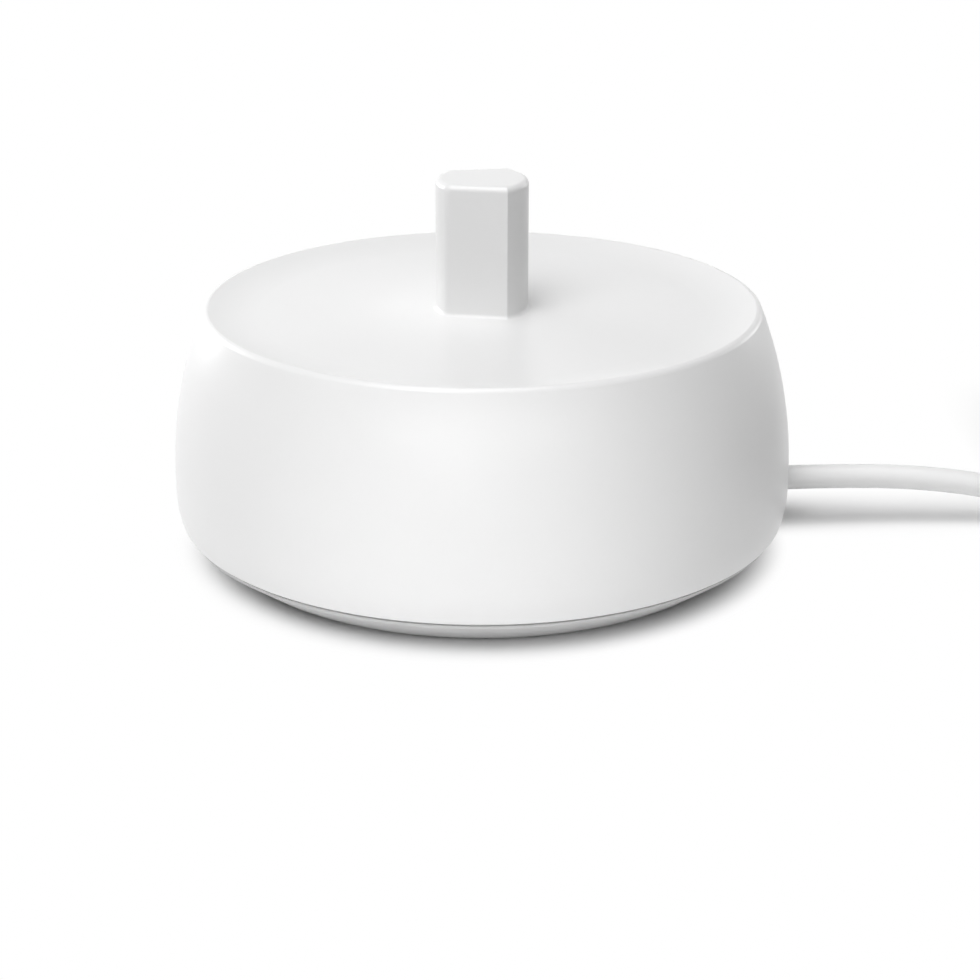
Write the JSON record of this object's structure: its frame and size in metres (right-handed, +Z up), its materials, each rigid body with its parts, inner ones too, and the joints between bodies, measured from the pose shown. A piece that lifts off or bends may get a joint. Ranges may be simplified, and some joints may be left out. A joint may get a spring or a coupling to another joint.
{
  "type": "toothbrush charging base",
  "caption": "Round inductive charging base for an electric toothbrush, with a shallow dished top, a flat-sided stud and a thin mains lead that ends in a flat plug.",
  "frame": {"origin": "middle of the base, on the surface that it stands on", "axes": "+Z up along the stud, -Y towards the front, +X towards the side where the lead leaves"},
  "size_m": [0.2204, 0.0698, 0.0375],
  "materials": {
    "housing_white": "satin moulded white plastic",
    "base_white": "fine matt moulded plastic",
    "seal_grey": "flat gasket",
    "foot_rubber": "matt",
    "screw_steel": "zinc plated",
    "ferrite": "matt sintered",
    "bobbin_plastic": "moulded",
    "copper_wire": "enamelled copper wire",
    "tinned_pin": "tinned",
    "board_laminate": "glass-fibre laminate with solder resist",
    "can_sleeve": "sleeved can",
    "film_box": "moulded box",
    "epoxy_black": "moulded epoxy",
    "resistor_coat": "lacquered",
    "diode_glass": "moulded",
    "cord_pvc": "soft satin sheath",
    "wire_pvc": "insulated wire",
    "tie_plastic": "soft band",
    "plug_white": "moulded",
    "pin_nickel": "nickel-plated brass",
    "sleeve_black": "insulating sleeve"
  },
  "bodies": {
    "root": {"housing": "housing_white", "base_plate": "base_white", "base_seal": "seal_grey", "foot_ring": "foot_rubber", "plate_screws": "screw_steel", "board_screws": "screw_steel", "ferrite_core": "ferrite", "coil_bobbin": "bobbin_plastic", "primary_winding": "copper_wire", "terminal_pins": "tinned_pin", "circuit_board": "board_laminate", "bulk_capacitor": "can_sleeve", "resonant_capacitor": "film_box", "choke_core": "ferrite", "choke_winding": "copper_wire", "power_transistor": "epoxy_black", "bridge_rectifier": "epoxy_black", "fuse_resistor": "resistor_coat", "bias_resistors": "resistor_coat", "clamp_diodes": "diode_glass", "inlet_terminals": "tinned_pin", "cord_grommet": "cord_pvc", "mains_leads": "wire_pvc", "cord": "cord_pvc", "cord_coil": "cord_pvc", "cord_tail": "cord_pvc", "coil_tie": "tie_plastic", "plug_boot": "cord_pvc", "plug_body": "plug_white", "plug_pins": "pin_nickel", "pin_sleeves": "sleeve_black"}
  },
  "joints": []
}
